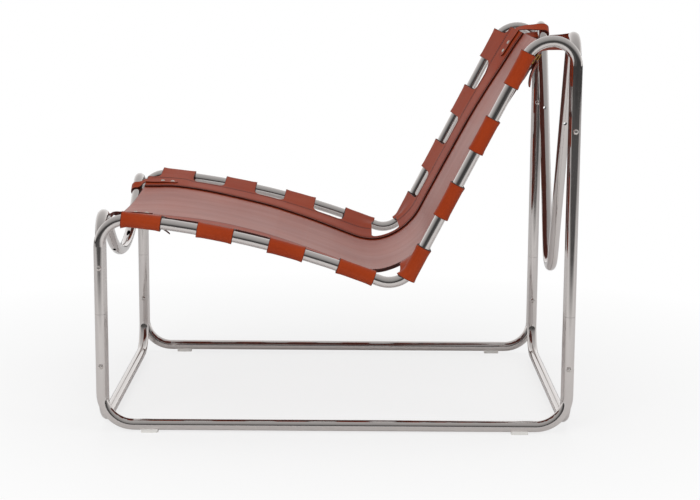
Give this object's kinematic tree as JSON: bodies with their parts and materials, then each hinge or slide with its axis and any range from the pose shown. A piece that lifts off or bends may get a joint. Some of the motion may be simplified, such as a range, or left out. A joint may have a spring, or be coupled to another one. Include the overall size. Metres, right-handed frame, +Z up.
{
  "type": "lounge chair",
  "caption": "Low lounge chair: bent chrome tube side and cross frames bolted leg to leg, with a leather sling looped round the rails and held by buckled straps.",
  "frame": {"origin": "on the floor, under the middle of the box round the chair", "axes": "+X to the sitter's left, -Y to the front of the chair, +Z up"},
  "size_m": [0.7294, 0.9443, 0.7859],
  "materials": {
    "chrome_tube": "polished",
    "spigot_steel": "plain",
    "bolt_steel": "polished",
    "glide_plastic": "plain",
    "panel_leather": "waxed",
    "strip_leather": "waxed",
    "strap_leather": "waxed",
    "chape_leather": "waxed",
    "buckle_brass": "polished",
    "prong_brass": "polished",
    "rivet_metal": "satin"
  },
  "bodies": {
    "chair": {"left_floor_rail_tube": "chrome_tube", "right_floor_rail_tube": "chrome_tube", "left_seat_back_tube": "chrome_tube", "right_seat_back_tube": "chrome_tube", "front_cross_base_tube": "chrome_tube", "rear_cross_base_tube": "chrome_tube", "front_cross_top_tube": "chrome_tube", "rear_cross_top_tube": "chrome_tube", "side_leg_spigots": "spigot_steel", "cross_leg_spigots": "spigot_steel", "front_leg_bolts": "bolt_steel", "rear_leg_bolts": "bolt_steel", "front_leg_nuts": "bolt_steel", "rear_leg_nuts": "bolt_steel", "left_front_glide": "glide_plastic", "left_rear_glide": "glide_plastic", "right_front_glide": "glide_plastic", "right_rear_glide": "glide_plastic", "sling_panel": "panel_leather", "left_sling_strip": "strip_leather", "right_sling_strip": "strip_leather", "left_front_strap": "strap_leather", "right_front_strap": "strap_leather", "left_top_strap": "strap_leather", "right_top_strap": "strap_leather", "left_front_chape": "chape_leather", "right_front_chape": "chape_leather", "left_top_chape": "chape_leather", "right_top_chape": "chape_leather", "left_front_buckle": "buckle_brass", "right_front_buckle": "buckle_brass", "left_top_buckle": "buckle_brass", "right_top_buckle": "buckle_brass", "left_front_rivets": "rivet_metal", "right_front_rivets": "rivet_metal", "left_top_rivets": "rivet_metal", "right_top_rivets": "rivet_metal"},
    "left_front_prong_body": {"left_front_prong": "prong_brass"},
    "right_front_prong_body": {"right_front_prong": "prong_brass"},
    "left_top_prong_body": {"left_top_prong": "prong_brass"},
    "right_top_prong_body": {"right_top_prong": "prong_brass"}
  },
  "joints": [
    {"name": "left_front_prong_hinge", "type": "hinge", "parent": "chair", "child": "left_front_prong_body", "pos_m": [0.24664, -0.38579, 0.40727], "axis": [0.9871, 0.0052, 0.1602], "range_deg": [0, 20]},
    {"name": "right_front_prong_hinge", "type": "hinge", "parent": "chair", "child": "right_front_prong_body", "pos_m": [-0.24664, -0.38579, 0.40727], "axis": [0.9871, -0.0052, -0.1602], "range_deg": [0, 20]},
    {"name": "left_top_prong_hinge", "type": "hinge", "parent": "chair", "child": "left_top_prong_body", "pos_m": [0.24811, 0.38471, 0.7208], "axis": [-0.9528, 0.2604, -0.1559], "range_deg": [0, 20]},
    {"name": "right_top_prong_hinge", "type": "hinge", "parent": "chair", "child": "right_top_prong_body", "pos_m": [-0.24811, 0.38471, 0.7208], "axis": [-0.9528, -0.2604, 0.1559], "range_deg": [0, 20]}
  ]
}
